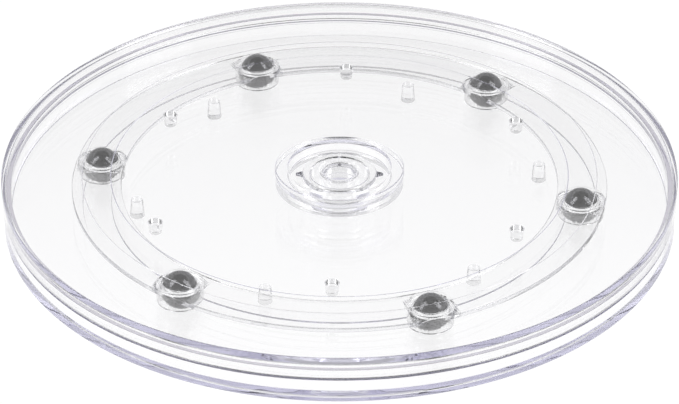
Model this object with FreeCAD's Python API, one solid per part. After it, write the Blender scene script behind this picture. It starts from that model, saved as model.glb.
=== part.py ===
"""Clear ball-bearing turntable (lazy susan).

Two shallow clear dishes of the same diameter face each other: the tray is upside down, so its flat
side is the serving surface, and the base stands on the table. Between them six steel balls run in
shallow race grooves, spaced by a floating cage ring. A hollow post in the middle of the base passes
through the tray's hub, and a cap held by a plug keeps the two dishes together.

Frame: millimetres, +Z up, origin on the table plane under the centre.
"""
import FreeCAD, Part
import math
import os

# Whole object
disc_radius = 125.0            # outer radius of the tray
base_radius = 124.6            # outer radius of the base, just inside the tray's
total_height = 18.5            # table to the serving surface
plate_thickness = 3.3          # flat part of the tray and of the base
skirt_thickness = 1.3          # skirt of the tray
wall_thickness = 3.0           # wall of the base
tongue_thickness = 1.7         # lip on the base wall that stands up inside the skirt
tongue_top = 12.6
edge_round = 0.3               # rounding of the two outer edges
tray_corner_round = 0.6        # inside corner between plate and skirt
base_corner_round = 0.3        # inside corner between plate and wall
parting_height = 9.3           # middle of the gap between skirt and wall
parting_gap = 0.8              # so that the dishes never rub

# Balls and races
ball_count = 6
ball_radius = 6.35
ball_pitch_radius = 90.0
ball_first_angle = -9.1        # degrees from +X
race_half_width = 5.3
ball_play = 0.03               # free space above and below a ball

# Cage ring
cage_inner_radius = 80.8
cage_outer_radius = 99.2
cage_thickness = 1.8
cup_top_over_ball = 2.6        # top of a cup above the ball centres
cup_over_ring = 0.4            # a cup stands this much over the flat ring
cup_outer_radius = 8.5
cup_below_ball = 4.9           # bottom of a cup below the ball centres
cup_clearance = 0.3            # between a ball and its cup
lip_hole_radius = 6.3          # the cage rests on the balls with this lip
lip_thickness = 0.6

# Guide pins that keep the cage centred
pin_count = 6
pin_ring_radius = 75.7
tray_pin_first_angle = 28.0
base_pin_first_angle = 9.5
tray_pin_length = 4.5
base_pin_length = 7.0
pin_root_radius = 2.7
pin_tip_radius = 2.2

# Hub of the tray
hub_outer_radius = 23.7
hub_lip_height = 0.3           # stands this much over the serving surface
hub_bottom = 9.5
pocket_top_radius = 19.2
pocket_floor_radius = 18.5
pocket_depth = 4.0
pocket_floor_thickness = 3.0

# Post of the base, cap and plug
post_radius = 11.0
post_running_clearance = 0.06
post_over_pocket_floor = 0.2   # the cap floats this much over the pocket floor
plug_shank_radius = 6.6
plug_shank_length = 9.0
plug_head_radius = 7.2
plug_head_height = 0.6
plug_head_round = 0.2
plug_recess_radius = 6.0       # round hollow in the top of the plug
plug_recess_depth = 1.5
cap_radius = 13.8
cap_edge_height = 1.7
cap_round = 0.8                # rounding of the cap's outer edge
cap_dish_radius = 10.8
cap_dish_depth = 0.4
cap_ear_reach = 2.4            # how far an ear stands out of the cap
cap_ear_half_width = 1.9
cap_ear_height = 1.1
cap_notch_depth = 1.5
cap_notch_half_width = 1.2

# Heights that follow
tray_underside = total_height - plate_thickness
race_floor = (total_height - 2 * ball_radius - 2 * ball_play) / 2
race_depth = plate_thickness - race_floor
ball_height = total_height / 2
pocket_floor = total_height - pocket_depth
post_top = pocket_floor + post_over_pocket_floor
cap_dish_floor = post_top + cap_edge_height - cap_dish_depth

UP = FreeCAD.Vector(0, 0, 1)
DOWN = FreeCAD.Vector(0, 0, -1)


def lathe(outline):
    """Solid of revolution about Z from (radius, height) points."""
    points = [FreeCAD.Vector(radius, 0, height) for radius, height in outline]
    wire = Part.makePolygon(points + [points[0]])
    return Part.Face(wire).revolve(FreeCAD.Vector(0, 0, 0), UP, 360)


def round_edge(solid, radius, height, size):
    """Round the circular edge of the given radius at the given height."""
    chosen = []
    for edge in solid.Edges:
        if not isinstance(edge.Curve, Part.Circle):
            continue
        same_height = abs(edge.Curve.Center.z - height) < 1e-6
        if same_height and abs(edge.Curve.Radius - radius) < 1e-6:
            chosen.append(edge)
    return solid.makeFillet(size, chosen)


def polar(radius, angle, height):
    """Point at an angle in degrees from +X."""
    turn = math.radians(angle)
    return FreeCAD.Vector(radius * math.cos(turn), radius * math.sin(turn), height)


def race_ring(floor, depth):
    """Ring of material that a race groove takes out of a plate."""
    outer = Part.makeCylinder(ball_pitch_radius + race_half_width, depth, FreeCAD.Vector(0, 0, floor))
    inner = Part.makeCylinder(ball_pitch_radius - race_half_width, depth, FreeCAD.Vector(0, 0, floor))
    return outer.cut(inner)


def make_top_tray():
    """Upside-down dish with the pocketed hub in its middle."""
    skirt_bottom = parting_height + parting_gap / 2
    bore_radius = post_radius + post_running_clearance
    lip_top = total_height + hub_lip_height
    pocket_underside = pocket_floor - pocket_floor_thickness
    outline = [
        (bore_radius, pocket_floor),
        (pocket_floor_radius, pocket_floor),
        (pocket_top_radius, lip_top),
        (hub_outer_radius, lip_top),
        (hub_outer_radius, total_height),
        (disc_radius, total_height),
        (disc_radius, skirt_bottom),
        (disc_radius - skirt_thickness, skirt_bottom),
        (disc_radius - skirt_thickness, tray_underside),
        (hub_outer_radius, tray_underside),
        (hub_outer_radius, hub_bottom),
        (pocket_top_radius, hub_bottom),
        (pocket_top_radius, pocket_underside),
        (bore_radius, pocket_underside),
    ]
    tray = round_edge(lathe(outline), disc_radius, total_height, edge_round)
    tray = round_edge(tray, disc_radius - skirt_thickness, tray_underside, tray_corner_round)
    return tray.cut(race_ring(tray_underside, race_depth))


def make_base_plate():
    """Dish that stands on the table, with the hollow post in its middle."""
    wall_top = parting_height - parting_gap / 2
    wall_inside = base_radius - wall_thickness
    outline = [
        (0, 0),
        (base_radius, 0),
        (base_radius, wall_top),
        (wall_inside + tongue_thickness, wall_top),
        (wall_inside + tongue_thickness, tongue_top),
        (wall_inside, tongue_top),
        (wall_inside, plate_thickness),
        (post_radius, plate_thickness),
        (post_radius, post_top),
        (plug_shank_radius, post_top),
        (plug_shank_radius, plate_thickness),
        (0, plate_thickness),
    ]
    base = round_edge(lathe(outline), base_radius, 0, edge_round)
    base = round_edge(base, wall_inside, plate_thickness, base_corner_round)
    return base.cut(race_ring(race_floor, race_depth))


def make_ball(angle):
    """One steel ball."""
    return Part.makeSphere(ball_radius, polar(ball_pitch_radius, angle, ball_height))


def ball_angles():
    """Angles of the balls, evenly spaced."""
    return [ball_first_angle + index * 360.0 / ball_count for index in range(ball_count)]


def make_ball_cage():
    """Flat ring with one open cup round each ball."""
    top = ball_height + cup_top_over_ball
    ring_floor = FreeCAD.Vector(0, 0, top - cup_over_ring - cage_thickness)
    cage = Part.makeCylinder(cage_outer_radius, cage_thickness, ring_floor)
    cage = cage.cut(Part.makeCylinder(cage_inner_radius, cage_thickness, ring_floor))
    bottom = ball_height - cup_below_ball
    cup_height = top - bottom
    for angle in ball_angles():
        foot = polar(ball_pitch_radius, angle, bottom)
        cage = cage.fuse(Part.makeCylinder(cup_outer_radius, cup_height, foot))
    for angle in ball_angles():
        foot = polar(ball_pitch_radius, angle, bottom)
        bore = Part.makeCylinder(ball_radius + cup_clearance, cup_height - lip_thickness, foot)
        cage = cage.cut(bore).cut(Part.makeCylinder(lip_hole_radius, cup_height, foot))
    return cage.removeSplitter()


def make_tray_pin(angle):
    """Pin that hangs from the tray, with a slight draft."""
    foot = polar(pin_ring_radius, angle, tray_underside)
    return Part.makeCone(pin_root_radius, pin_tip_radius, tray_pin_length, foot, DOWN)


def make_base_pin(angle):
    """Pin that stands on the base, with a slight draft."""
    foot = polar(pin_ring_radius, angle, plate_thickness)
    return Part.makeCone(pin_root_radius, pin_tip_radius, base_pin_length, foot, UP)


def make_retaining_cap():
    """Dished cap with two small ears, which holds the tray down."""
    edge_top = post_top + cap_edge_height
    outline = [
        (plug_shank_radius, post_top),
        (cap_radius, post_top),
        (cap_radius, edge_top - cap_round / 2),
        (cap_radius - cap_round, edge_top),
        (cap_dish_radius, edge_top),
        (cap_dish_radius - cap_dish_depth, cap_dish_floor),
        (plug_shank_radius, cap_dish_floor),
    ]
    cap = lathe(outline)
    for side in (-1, 1):
        root = side * (cap_radius - cap_round)
        tip = side * (cap_radius + cap_ear_reach)
        ear = Part.makePolygon([
            FreeCAD.Vector(root, -cap_ear_half_width, post_top),
            FreeCAD.Vector(tip, 0, post_top),
            FreeCAD.Vector(root, cap_ear_half_width, post_top),
            FreeCAD.Vector(root, -cap_ear_half_width, post_top),
        ])
        cap = cap.fuse(Part.Face(ear).extrude(UP * cap_ear_height))
    notch = Part.makePolygon([
        FreeCAD.Vector(-cap_notch_half_width, cap_radius + cap_round, post_top),
        FreeCAD.Vector(0, cap_radius - cap_notch_depth, post_top),
        FreeCAD.Vector(cap_notch_half_width, cap_radius + cap_round, post_top),
        FreeCAD.Vector(-cap_notch_half_width, cap_radius + cap_round, post_top),
    ])
    return cap.cut(Part.Face(notch).extrude(UP * cap_edge_height)).removeSplitter()


def make_snap_plug():
    """Hollow-headed plug through the cap into the post."""
    head_top = cap_dish_floor + plug_head_height
    outline = [
        (0, cap_dish_floor - plug_shank_length),
        (plug_shank_radius, cap_dish_floor - plug_shank_length),
        (plug_shank_radius, cap_dish_floor),
        (plug_head_radius, cap_dish_floor),
        (plug_head_radius, head_top),
        (plug_recess_radius, head_top),
        (plug_recess_radius, head_top - plug_recess_depth),
        (0, head_top - plug_recess_depth),
    ]
    return round_edge(lathe(outline), plug_head_radius, head_top, plug_head_round)


def export(name, solid):
    """Write one node, and say what it measures."""
    if not solid.isValid() or len(solid.Solids) != 1:
        raise ValueError(name + " is not one valid solid")
    solid.Solids[0].exportStep("parts/" + name + ".step")
    print(name, round(solid.Volume), "mm3")


os.makedirs("parts", exist_ok=True)
export("top_tray", make_top_tray())
export("base_plate", make_base_plate())
export("ball_cage", make_ball_cage())
export("retaining_cap", make_retaining_cap())
export("snap_plug", make_snap_plug())
for number, ball_angle in enumerate(ball_angles(), start=1):
    export("steel_ball_%d" % number, make_ball(ball_angle))
for number in range(1, pin_count + 1):
    step = (number - 1) * 360.0 / pin_count
    export("tray_pin_%d" % number, make_tray_pin(tray_pin_first_angle + step))
    export("base_pin_%d" % number, make_base_pin(base_pin_first_angle + step))
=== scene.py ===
"""Looks of the clear ball-bearing turntable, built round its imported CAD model."""
import math

import bmesh
import bpy
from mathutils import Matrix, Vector


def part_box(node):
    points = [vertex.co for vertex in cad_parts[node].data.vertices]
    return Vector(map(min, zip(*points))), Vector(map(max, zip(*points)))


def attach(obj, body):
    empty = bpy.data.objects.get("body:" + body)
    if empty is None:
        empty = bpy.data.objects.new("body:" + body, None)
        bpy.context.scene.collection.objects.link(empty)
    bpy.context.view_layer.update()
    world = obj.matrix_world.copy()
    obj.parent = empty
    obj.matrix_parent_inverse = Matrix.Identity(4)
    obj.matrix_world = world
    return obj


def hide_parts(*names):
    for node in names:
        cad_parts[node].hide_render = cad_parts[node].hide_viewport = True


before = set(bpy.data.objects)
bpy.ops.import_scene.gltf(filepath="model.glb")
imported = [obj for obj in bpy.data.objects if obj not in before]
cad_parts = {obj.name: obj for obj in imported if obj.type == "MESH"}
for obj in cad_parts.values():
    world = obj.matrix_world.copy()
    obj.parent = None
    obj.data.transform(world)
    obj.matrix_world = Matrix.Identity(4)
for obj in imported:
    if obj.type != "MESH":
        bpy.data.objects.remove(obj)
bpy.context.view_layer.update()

MM = 0.001

# Sizes that the frame's boxes give
TRAY_LOW, TRAY_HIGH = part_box("top_tray")
_, BASE_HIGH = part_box("base_plate")
CAGE_LOW, CAGE_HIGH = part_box("ball_cage")
CAP_LOW, CAP_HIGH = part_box("retaining_cap")
PLUG_LOW, PLUG_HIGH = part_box("snap_plug")

# Sizes of the dishes that their boxes don't give
PLATE = 3.3 * MM
SKIRT = 1.3 * MM
SKIRT_BOTTOM = 9.7 * MM
WALL = 3.0 * MM
WALL_TOP = 8.9 * MM
TONGUE = 1.7 * MM
TONGUE_TOP = 12.6 * MM
HUB_LIP = 0.3 * MM
HUB_OUTER = 23.7 * MM
POCKET_TOP = 19.2 * MM
POCKET_FLOOR = 18.5 * MM
POCKET_DEPTH = 4.0 * MM
POCKET_PLATE = 3.0 * MM
TRAY_BORE = 11.06 * MM
POST = 11.0 * MM
SHANK = 6.6 * MM
RACE_INNER = 84.7 * MM
RACE_OUTER = 95.3 * MM
RACE_DEPTH = 0.43 * MM

# Roundings, and the gap that keeps two clear faces from lying in one plane
OUTER_ROUND = 0.3 * MM
TRAY_CORNER = 0.6 * MM
BASE_CORNER = 0.3 * MM
EDGE = 0.3 * MM
CREST = 0.2 * MM
CLEAR = 0.02 * MM

SERVING = TRAY_HIGH.z - HUB_LIP
TRAY_RADIUS = TRAY_HIGH.x
BASE_RADIUS = BASE_HIGH.x
UNDERSIDE = SERVING - PLATE

# Faces round the big pieces, the hub's pieces, the cups and the pins, and steps in a rounding
RINGS = 720
HUB_RINGS = 192
CUP_RINGS = 96
PIN_RINGS = 64
ARC_STEPS = 5

PIECES_IN_A_RING = 6

# Painted shade on small faces of the clear pieces: dark lines at the base rim joint and grey on the cap's
# ears
SHOULDER_PAINTED_SHADE = (0.07, 0.065, 0.11)
TONGUE_PAINTED_SHADE = (0.35, 0.33, 0.40)
EAR_PAINTED_SHADE = (0.16, 0.16, 0.18)


# ---------------------------------------------------------------- meshes

def rounded_outline(corners):
    """Closed outline from (radius, height, rounding) corners, as runs (point, normal, point, normal).

    The corners go round so that the solid lies on the left of the direction of travel."""
    count = len(corners)
    places = [Vector((r, z)) for r, z, _ in corners]
    runs = []
    ends = []
    for i in range(count):
        before, here, after = places[i - 1], places[i], places[(i + 1) % count]
        size = corners[i][2]
        if size <= 0:
            ends.append((here, here, None))
            continue
        back = (before - here).normalized()
        ahead = (after - here).normalized()
        half = back.angle(ahead) / 2
        reach = size / math.tan(half)
        centre = here + (back + ahead).normalized() * (size / math.sin(half))
        ends.append((here + back * reach, here + ahead * reach, centre))
    for i in range(count):
        start, stop, centre = ends[i]
        if centre is not None:
            first = start - centre
            last = stop - centre
            turn = first.angle_signed(last)
            side = -1 if cross(places[i] - places[i - 1], places[(i + 1) % count] - places[i]) < 0 else 1
            for step in range(ARC_STEPS):
                a = turned(first, -turn * step / ARC_STEPS)
                b = turned(first, -turn * (step + 1) / ARC_STEPS)
                runs.append((centre + a, side * a.normalized(), centre + b, side * b.normalized()))
        following = ends[(i + 1) % count][0]
        along = following - stop
        if along.length > 1e-9:
            normal = Vector((along.y, -along.x)).normalized()
            runs.append((stop, normal, following, normal))
    return runs


def cross(a, b):
    """Cross product of two flat vectors."""
    return a.x * b.y - a.y * b.x


def turned(v, angle):
    """Flat vector turned counterclockwise."""
    cosine, sine = math.cos(angle), math.sin(angle)
    return Vector((v.x * cosine - v.y * sine, v.x * sine + v.y * cosine))


def lathe(name, corners, rings=RINGS, centre=(0, 0)):
    """Solid of revolution with exact normals, from corners as rounded_outline takes them."""
    runs = rounded_outline(corners)
    vertices = []
    columns = []
    for point, _, _, _ in runs:
        if point.x < 1e-7:
            vertices.append((centre[0], centre[1], point.y))
            columns.append([len(vertices) - 1] * rings)
            continue
        column = []
        for k in range(rings):
            a = 2 * math.pi * k / rings
            vertices.append((centre[0] + point.x * math.cos(a), centre[1] + point.x * math.sin(a), point.y))
            column.append(len(vertices) - 1)
        columns.append(column)
    faces = []
    normals = []
    for i, (p, pn, q, qn) in enumerate(runs):
        low, high = columns[i], columns[(i + 1) % len(runs)]
        if p.x < 1e-7 and q.x < 1e-7:
            continue
        for k in range(rings):
            m = (k + 1) % rings
            corner = [(low[k], pn, k), (low[m], pn, m), (high[m], qn, m), (high[k], qn, k)]
            if p.x < 1e-7:
                corner = [corner[0], corner[2], corner[3]]
            if q.x < 1e-7:
                corner = corner[:3]
            faces.append([c[0] for c in corner])
            for _, n, j in corner:
                a = 2 * math.pi * j / rings
                normals.append((n.x * math.cos(a), n.x * math.sin(a), n.y))
    mesh = bpy.data.meshes.new(name)
    mesh.from_pydata(vertices, [], faces)
    mesh.shade_smooth()
    mesh.normals_split_custom_set(normals)
    piece = bpy.data.objects.new(name, mesh)
    bpy.context.scene.collection.objects.link(piece)
    return piece


def tube(name, outer, inner, low, high, edge, centre=(0, 0), rings=CUP_RINGS):
    """Ring or, with no inner radius, disc."""
    if inner > 0:
        corners = [(inner, low, edge), (outer, low, edge), (outer, high, edge), (inner, high, edge)]
    else:
        corners = [(0, low, 0), (outer, low, edge), (outer, high, edge), (0, high, 0)]
    return lathe(name, corners, rings, centre)


def combine(piece, others, operation):
    """Boolean of piece with each of the others, which are then removed."""
    for other in others:
        cut = piece.modifiers.new("combine", "BOOLEAN")
        cut.operation = operation
        cut.solver = "EXACT"
        cut.object = other
        bpy.context.view_layer.update()
        done = bpy.data.meshes.new_from_object(piece.evaluated_get(bpy.context.evaluated_depsgraph_get()))
        piece.modifiers.clear()
        piece.data = done
        bpy.data.objects.remove(other)
    return piece


def crisp(piece, angle=40):
    """Flat faces keep their own normal, and roundings and walls are smooth."""
    piece.data.shade_smooth()
    piece.data.set_sharp_from_angle(angle=math.radians(angle))
    weigh = piece.modifiers.new("weigh", "WEIGHTED_NORMAL")
    weigh.weight = 100
    weigh.keep_sharp = True
    bpy.context.view_layer.update()
    piece.data = bpy.data.meshes.new_from_object(piece.evaluated_get(bpy.context.evaluated_depsgraph_get()))
    piece.modifiers.clear()


# ---------------------------------------------------------------- materials

def new_material(name):
    """Material, its node tree and its main shader."""
    material = bpy.data.materials.new(name)
    material.use_nodes = True
    return material, material.node_tree, material.node_tree.nodes["Principled BSDF"]


def noise(tree, scale, detail, roughness=0.55):
    """Noise in the piece's own coordinates, in metres."""
    place = tree.nodes.new("ShaderNodeTexCoord")
    texture = tree.nodes.new("ShaderNodeTexNoise")
    texture.inputs["Scale"].default_value = scale
    texture.inputs["Detail"].default_value = detail
    texture.inputs["Roughness"].default_value = roughness
    tree.links.new(place.outputs["Object"], texture.inputs["Vector"])
    return texture.outputs["Fac"]


def spread(tree, value, low, high):
    """Maps 0..1 to low..high."""
    node = tree.nodes.new("ShaderNodeMapRange")
    node.inputs["To Min"].default_value = low
    node.inputs["To Max"].default_value = high
    tree.links.new(value, node.inputs["Value"])
    return node.outputs["Result"]


def clear_plastic(name, absorb=(0.45, 0.43, 0.665), density=4.0, ripple=0.02):
    """Moulded clear plastic: faint flow ripple, a lilac tint where the light goes a long way through it."""
    material, tree, shader = new_material(name)
    shader.inputs["Base Color"].default_value = (1, 1, 1, 1)
    shader.inputs["Transmission Weight"].default_value = 1.0
    shader.inputs["IOR"].default_value = 1.53
    shader.inputs["Roughness"].default_value = 0.0
    bump = tree.nodes.new("ShaderNodeBump")
    bump.inputs["Strength"].default_value = ripple
    bump.inputs["Distance"].default_value = 0.0004
    tree.links.new(noise(tree, 55.0, 2.0, 0.45), bump.inputs["Height"])
    tree.links.new(bump.outputs["Normal"], shader.inputs["Normal"])
    volume = tree.nodes.new("ShaderNodeVolumeAbsorption")
    volume.inputs["Color"].default_value = (*absorb, 1)
    volume.inputs["Density"].default_value = density
    output = tree.nodes["Material Output"]
    tree.links.new(volume.outputs["Volume"], output.inputs["Volume"])
    path = tree.nodes.new("ShaderNodeLightPath")
    clear = tree.nodes.new("ShaderNodeBsdfTransparent")
    clear.inputs["Color"].default_value = (0.94, 0.94, 0.96, 1)
    mix = tree.nodes.new("ShaderNodeMixShader")
    tree.links.new(path.outputs["Is Shadow Ray"], mix.inputs["Fac"])
    tree.links.new(shader.outputs["BSDF"], mix.inputs[1])
    tree.links.new(clear.outputs["BSDF"], mix.inputs[2])
    tree.links.new(mix.outputs["Shader"], output.inputs["Surface"])
    return material


def calculate(tree, operation, a, b=0.0):
    """Math node of two values, each a number or a socket, kept within 0 to 1."""
    node = tree.nodes.new("ShaderNodeMath")
    node.operation = operation
    node.use_clamp = True
    for socket, value in zip(node.inputs, (a, b)):
        if isinstance(value, (int, float)):
            socket.default_value = value
        else:
            tree.links.new(value, socket)
    return node.outputs["Value"]


def tint_where(material, *areas):
    """Darker surface colour in each area, given as (mask, colour)."""
    tree = material.node_tree
    colour = (1, 1, 1, 1)
    for mask, darker in areas:
        tint = tree.nodes.new("ShaderNodeMix")
        tint.data_type = "RGBA"
        if isinstance(colour, tuple):
            tint.inputs["A"].default_value = colour
        else:
            tree.links.new(colour, tint.inputs["A"])
        tint.inputs["B"].default_value = (*darker, 1)
        tree.links.new(mask, tint.inputs["Factor"])
        colour = tint.outputs["Result"]
    tree.links.new(colour, tree.nodes["Principled BSDF"].inputs["Base Color"])


def own_place(material):
    """Place in the piece's own coordinates, as a vector and as its three parts."""
    tree = material.node_tree
    place = tree.nodes.new("ShaderNodeTexCoord").outputs["Object"]
    parts = tree.nodes.new("ShaderNodeSeparateXYZ")
    tree.links.new(place, parts.inputs["Vector"])
    return place, parts.outputs


def paint_rim_shade(material):
    """Painted shade on the base wall's shoulder and tongue top: a darker colour standing in for the dark
    lines that bent light draws at that joint.
    """
    tree = material.node_tree
    place, parts = own_place(material)
    skin = 0.05 * MM
    distance = tree.nodes.new("ShaderNodeVectorMath")
    distance.operation = "LENGTH"
    tree.links.new(place, distance.inputs[0])
    far = calculate(tree, "GREATER_THAN", distance.outputs["Value"], RACE_OUTER)
    above = calculate(tree, "GREATER_THAN", parts["Z"], WALL_TOP - skin)
    below = calculate(tree, "LESS_THAN", parts["Z"], WALL_TOP + skin)
    shoulder = calculate(tree, "MULTIPLY", calculate(tree, "MULTIPLY", above, below), far)
    crown = calculate(tree, "GREATER_THAN", parts["Z"], TONGUE_TOP - skin)
    tongue = calculate(tree, "MULTIPLY", crown, far)
    tint_where(material, (shoulder, SHOULDER_PAINTED_SHADE), (tongue, TONGUE_PAINTED_SHADE))


def paint_ear_shade(material):
    """Painted shade on the cap's two ears: a darker colour standing in for the grey triangles that bent and
    reflected light makes of them.
    """
    tree = material.node_tree
    _, parts = own_place(material)
    beside = calculate(tree, "GREATER_THAN", calculate(tree, "ABSOLUTE", parts["X"]), -CAP_LOW.y)
    tint_where(material, (beside, EAR_PAINTED_SHADE))


def bearing_steel(name):
    """Faintly mottled steel, much darker than bare steel so that the balls look nearly black."""
    material, tree, shader = new_material(name)
    shader.inputs["Metallic"].default_value = 1.0
    tint = tree.nodes.new("ShaderNodeValToRGB")
    tint.color_ramp.elements[0].color = (0.08, 0.08, 0.085, 1)
    tint.color_ramp.elements[1].color = (0.14, 0.14, 0.145, 1)
    tree.links.new(noise(tree, 260.0, 4.0), tint.inputs["Fac"])
    tree.links.new(tint.outputs["Color"], shader.inputs["Base Color"])
    tree.links.new(spread(tree, noise(tree, 900.0, 5.0), 0.02, 0.08), shader.inputs["Roughness"])
    return material


PLASTIC_TRAY = clear_plastic("clear_tray_plastic")
PLASTIC_BASE = clear_plastic("clear_base_plastic", ripple=0.03)
# painted shade at the base rim joint
paint_rim_shade(PLASTIC_BASE)
PLASTIC_CAGE = clear_plastic("clear_cage_plastic", absorb=(0.60, 0.60, 0.66), density=12.0, ripple=0.05)
PLASTIC_CAP = clear_plastic("clear_cap_plastic", absorb=(0.55, 0.55, 0.62), density=15.0, ripple=0.06)
# painted shade on the cap's ears
paint_ear_shade(PLASTIC_CAP)
PLASTIC_PLUG = clear_plastic("clear_plug_plastic", absorb=(0.55, 0.55, 0.62), density=15.0, ripple=0.06)
PLASTIC_PIN = clear_plastic("clear_pin_plastic", absorb=(0.55, 0.55, 0.62), density=15.0, ripple=0.04)
STEEL = bearing_steel("bearing_steel")


def dress(piece, material, body, nodes):
    """Material, body and the CAD nodes that the piece stands for: gives the piece its material, hangs it on
    its body and hides those nodes.
    """
    piece.data.materials.clear()
    piece.data.materials.append(material)
    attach(piece, body)
    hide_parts(*nodes)


# ---------------------------------------------------------------- pieces

def make_tray():
    """Upside-down dish with its pocketed hub."""
    floor = SERVING - POCKET_DEPTH
    corners = [
        (TRAY_BORE, floor - POCKET_PLATE, CREST),
        (POCKET_TOP, floor - POCKET_PLATE, EDGE),
        (POCKET_TOP, TRAY_LOW.z, CREST),
        (HUB_OUTER, TRAY_LOW.z, EDGE),
        (HUB_OUTER, UNDERSIDE, EDGE),
        (RACE_INNER, UNDERSIDE, CREST),
        (RACE_INNER, UNDERSIDE + RACE_DEPTH, CREST),
        (RACE_OUTER, UNDERSIDE + RACE_DEPTH, CREST),
        (RACE_OUTER, UNDERSIDE, CREST),
        (TRAY_RADIUS - SKIRT, UNDERSIDE, TRAY_CORNER),
        (TRAY_RADIUS - SKIRT, SKIRT_BOTTOM, EDGE),
        (TRAY_RADIUS, SKIRT_BOTTOM, EDGE),
        (TRAY_RADIUS, SERVING, OUTER_ROUND),
        (HUB_OUTER, SERVING, CREST),
        (HUB_OUTER, TRAY_HIGH.z, CREST),
        (POCKET_TOP, TRAY_HIGH.z, CREST),
        (POCKET_FLOOR, floor, EDGE),
        (TRAY_BORE, floor, CREST),
    ]
    dress(lathe("tray_shell", corners), PLASTIC_TRAY, "tray", ["top_tray"])


def make_base():
    """Dish with the tongue on its wall and the post in its middle."""
    corners = [
        (0, 0, 0),
        (BASE_RADIUS, 0, OUTER_ROUND),
        (BASE_RADIUS, WALL_TOP, EDGE),
        (BASE_RADIUS - WALL + TONGUE, WALL_TOP, CREST),
        (BASE_RADIUS - WALL + TONGUE, TONGUE_TOP, CREST),
        (BASE_RADIUS - WALL, TONGUE_TOP, CREST),
        (BASE_RADIUS - WALL, PLATE, BASE_CORNER),
        (RACE_OUTER, PLATE, CREST),
        (RACE_OUTER, PLATE - RACE_DEPTH, CREST),
        (RACE_INNER, PLATE - RACE_DEPTH, CREST),
        (RACE_INNER, PLATE, CREST),
        (POST, PLATE, EDGE),
        (POST, BASE_HIGH.z, CREST),
        (SHANK, BASE_HIGH.z, CREST),
        (SHANK, PLATE, 0),
        (0, PLATE, 0),
    ]
    dress(lathe("base_shell", corners), PLASTIC_BASE, "base", ["base_plate"])


def ball_places():
    """Middle of each ball, from its CAD box."""
    places = []
    for number in range(1, PIECES_IN_A_RING + 1):
        low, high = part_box("steel_ball_%d" % number)
        places.append((low + high) / 2)
    return places


def make_balls():
    """Steel balls, in their CAD places."""
    low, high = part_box("steel_ball_1")
    radius = (high.z - low.z) / 2
    for number, middle in enumerate(ball_places(), start=1):
        mesh = bpy.data.meshes.new("bearing_ball_%d" % number)
        shape = bmesh.new()
        bmesh.ops.create_icosphere(shape, subdivisions=6, radius=radius)
        bmesh.ops.translate(shape, verts=shape.verts, vec=middle)
        shape.to_mesh(mesh)
        shape.free()
        mesh.shade_smooth()
        ball = bpy.data.objects.new("bearing_ball_%d" % number, mesh)
        bpy.context.scene.collection.objects.link(ball)
        dress(ball, STEEL, "ball_%d" % number, ["steel_ball_%d" % number])


def make_cage():
    """Ring with a cup round each ball."""
    ring_inner = 80.8 * MM
    ring_outer = 99.2 * MM
    ring_thickness = 1.8 * MM
    ring_edge = 0.4 * MM
    cup_over_ring = 0.4 * MM
    cup_outer = 8.5 * MM
    cup_bore = 6.65 * MM
    lip_hole = 6.3 * MM
    lip = 0.6 * MM
    over = 1.0 * MM
    top, bottom = CAGE_HIGH.z, CAGE_LOW.z
    ring_top = top - cup_over_ring
    ring_low = ring_top - ring_thickness
    cage = tube("cage_ring", ring_outer, ring_inner, ring_low, ring_top, ring_edge, rings=RINGS)
    cups = []
    bores = []
    for middle in ball_places():
        spot = (middle.x, middle.y)
        cups.append(tube("cup", cup_outer, 0, bottom, top, CREST, spot))
        bores.append(tube("bore", cup_bore, 0, bottom - over, top - lip, 0, spot))
        bores.append(tube("hole", lip_hole, 0, bottom - over, top + over, 0, spot))
    combine(cage, cups, "UNION")
    combine(cage, bores, "DIFFERENCE")
    crisp(cage)
    dress(cage, PLASTIC_CAGE, "cage", ["ball_cage"])


def make_pins():
    """Tapered pins of the tray and of the base, where the body that a pin rides on has its kind's name."""
    root, tip = 2.7 * MM, 2.2 * MM
    for number in range(1, PIECES_IN_A_RING + 1):
        for kind in ("tray", "base"):
            node = "%s_pin_%d" % (kind, number)
            low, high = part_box(node)
            spot = ((low.x + high.x) / 2, (low.y + high.y) / 2)
            lower, upper = (tip, root) if kind == "tray" else (root, tip)
            bottom = low.z + (CLEAR if kind == "base" else 0)
            top = high.z - (CLEAR if kind == "tray" else 0)
            corners = [(0, bottom, 0), (lower, bottom, CREST), (upper, top, CREST), (0, top, 0)]
            pin = lathe("%s_guide_pin_%d" % (kind, number), corners, PIN_RINGS, spot)
            dress(pin, PLASTIC_PIN, kind, [node])


def prism(name, points, low, high):
    """Upright prism on a polygon whose points go counterclockwise."""
    count = len(points)
    vertices = [(x, y, low) for x, y in points] + [(x, y, high) for x, y in points]
    faces = [tuple(reversed(range(count))), tuple(range(count, 2 * count))]
    for k in range(count):
        m = (k + 1) % count
        faces.append((k, m, count + m, count + k))
    mesh = bpy.data.meshes.new(name)
    mesh.from_pydata(vertices, [], faces)
    piece = bpy.data.objects.new(name, mesh)
    bpy.context.scene.collection.objects.link(piece)
    return piece


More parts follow.
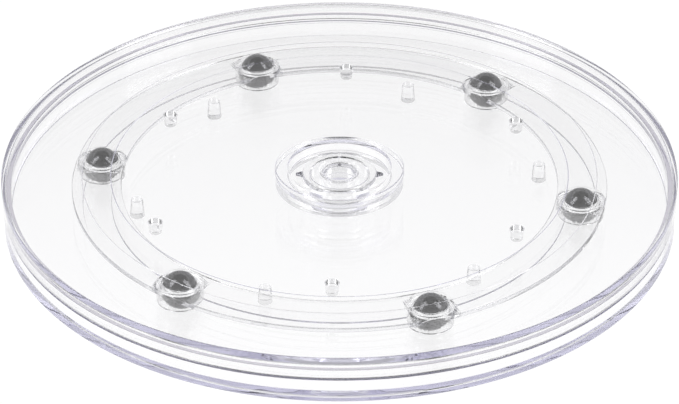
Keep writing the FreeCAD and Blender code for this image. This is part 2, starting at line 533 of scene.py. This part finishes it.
def make_cap():
    """Dished cap with two ears and a notch."""
    ring, dish_low = 10.8 * MM, 0.4 * MM
    rounding = 0.6 * MM
    ear_half_width, ear_height = 1.9 * MM, 1.1 * MM
    notch_half_width, notch_depth = 1.2 * MM, 1.5 * MM
    low, top = CAP_LOW.z + CLEAR, CAP_HIGH.z
    outer = -CAP_LOW.y
    reach = CAP_HIGH.x
    bore = SHANK + CLEAR
    corners = [
        (bore, low, 0),
        (outer, low, CREST),
        (outer, top, rounding),
        (ring, top, CREST),
        (ring - dish_low, top - dish_low, CREST),
        (bore, top - dish_low, 0),
    ]
    cap = lathe("hub_cap", corners, HUB_RINGS)
    root = outer - 1.0 * MM
    inside = low + 0.01 * MM
    ears = []
    for side in (1, -1):
        outline = [
            (side * root, -side * ear_half_width),
            (side * reach, 0),
            (side * root, side * ear_half_width),
        ]
        ears.append(prism("ear", outline, inside, low + ear_height))
    edge = outer + 0.8 * MM
    notch = prism("notch", [(notch_half_width, edge), (-notch_half_width, edge), (0, outer - notch_depth)],
                  low - rounding, top + rounding)
    combine(cap, ears, "UNION")
    combine(cap, [notch], "DIFFERENCE")
    crisp(cap)
    dress(cap, PLASTIC_CAP, "base", ["retaining_cap"])


def make_plug():
    """Plug with a hollow head."""
    head, top = PLUG_HIGH.x, PLUG_HIGH.z
    head_height, head_edge = 0.6 * MM, 0.1 * MM
    under = top - head_height + CLEAR
    shank = SHANK - CLEAR
    recess, recess_depth = 6.0 * MM, 1.5 * MM
    corners = [
        (0, PLUG_LOW.z, 0),
        (shank, PLUG_LOW.z, EDGE),
        (shank, under, 0),
        (head, under, head_edge),
        (head, top, CREST),
        (recess, top, CREST),
        (recess, top - recess_depth, EDGE),
        (0, top - recess_depth, 0),
    ]
    dress(lathe("hub_plug", corners, HUB_RINGS), PLASTIC_PLUG, "base", ["snap_plug"])


make_tray()
make_base()
make_balls()
make_cage()
make_pins()
make_cap()
make_plug()


# ---------------------------------------------------------------- floor, light and camera

def make_floor():
    """White table that glows evenly by itself, so nothing casts a shadow on it."""
    mesh = bpy.data.meshes.new("studio_floor")
    half, drop = 4.0, -0.0004
    mesh.from_pydata([(-half, -half, drop), (half, -half, drop), (half, half, drop), (-half, half, drop)],
                     [], [(0, 1, 2, 3)])
    floor = bpy.data.objects.new("studio_floor", mesh)
    bpy.context.scene.collection.objects.link(floor)
    material, tree, shader = new_material("studio_floor_white")
    shader.inputs["Base Color"].default_value = (0, 0, 0, 1)
    shader.inputs["Roughness"].default_value = 1.0
    shader.inputs["Specular IOR Level"].default_value = 0.0
    shader.inputs["Emission Color"].default_value = (1, 1, 1, 1)
    shader.inputs["Emission Strength"].default_value = 1.04
    floor.data.materials.append(material)


def make_world():
    """Light grey low down and behind, a white band high up behind, and dark above and in front."""
    world = bpy.data.worlds.new("studio")
    bpy.context.scene.world = world
    world.use_nodes = True
    tree = world.node_tree
    place = tree.nodes.new("ShaderNodeTexCoord")
    parts = tree.nodes.new("ShaderNodeSeparateXYZ")
    tree.links.new(place.outputs["Generated"], parts.inputs["Vector"])

    def fade(value, start, stop):
        """1 up to start, falling to 0 at stop."""
        node = tree.nodes.new("ShaderNodeMapRange")
        node.inputs["From Min"].default_value = start
        node.inputs["From Max"].default_value = stop
        node.inputs["To Min"].default_value = 1.0
        node.inputs["To Max"].default_value = 0.0
        tree.links.new(value, node.inputs["Value"])
        return node.outputs["Result"]

    low = fade(parts.outputs["Z"], 0.10, 0.22)
    behind = calculate(tree, "SUBTRACT", 1.0, fade(parts.outputs["Y"], -0.55, -0.25))
    backdrop = calculate(tree, "MULTIPLY", behind, fade(parts.outputs["Z"], 0.62, 0.72))
    bright = calculate(tree, "MAXIMUM", low, backdrop)
    rise = tree.nodes.new("ShaderNodeMapRange")
    rise.inputs["From Min"].default_value = 0.48
    rise.inputs["From Max"].default_value = 0.60
    rise.inputs["To Min"].default_value = 0.48
    rise.inputs["To Max"].default_value = 1.0
    tree.links.new(parts.outputs["Z"], rise.inputs["Value"])
    level = calculate(tree, "MULTIPLY", bright, rise.outputs["Result"])
    level = calculate(tree, "ADD", level, 0.05)
    tree.links.new(level, tree.nodes["Background"].inputs["Color"])


def make_light(name, place, size, power):
    """Softbox that faces the object."""
    light = bpy.data.lights.new(name, "AREA")
    light.shape = "RECTANGLE"
    light.size, light.size_y = size
    light.energy = power
    lamp = bpy.data.objects.new(name, light)
    lamp.location = place
    lamp.rotation_euler = (Vector((0, 0, 0)) - Vector(place)).to_track_quat("-Z", "Y").to_euler()
    bpy.context.scene.collection.objects.link(lamp)


def make_camera():
    """Long lens that looks down on the object from the front."""
    elevation = math.radians(32.2)
    distance = 1.432
    aim = Vector((0, 0, 0.0031))
    data = bpy.data.cameras.new("camera")
    data.lens = 203.8
    data.sensor_width = 36.0
    camera = bpy.data.objects.new("camera", data)
    camera.location = aim + Vector((0, -math.cos(elevation), math.sin(elevation))) * distance
    camera.rotation_euler = (math.pi / 2 - elevation, 0, 0)
    bpy.context.scene.collection.objects.link(camera)
    bpy.context.scene.camera = camera


make_floor()
make_world()
for name, side in (("softbox_left", -1.0), ("softbox_right", 1.0)):
    make_light(name, (side, -0.33, 0.92), (0.6, 1.4), 7)
make_camera()

view = bpy.context.scene.view_settings
view.view_transform = "Standard"
# Light runs along inside the flat plates: with 12 or 32 bounces their front edges turn dark
BOUNCES = 96
cycles = bpy.context.scene.cycles
cycles.max_bounces = BOUNCES
cycles.transmission_bounces = BOUNCES
cycles.glossy_bounces = BOUNCES
cycles.transparent_max_bounces = 32
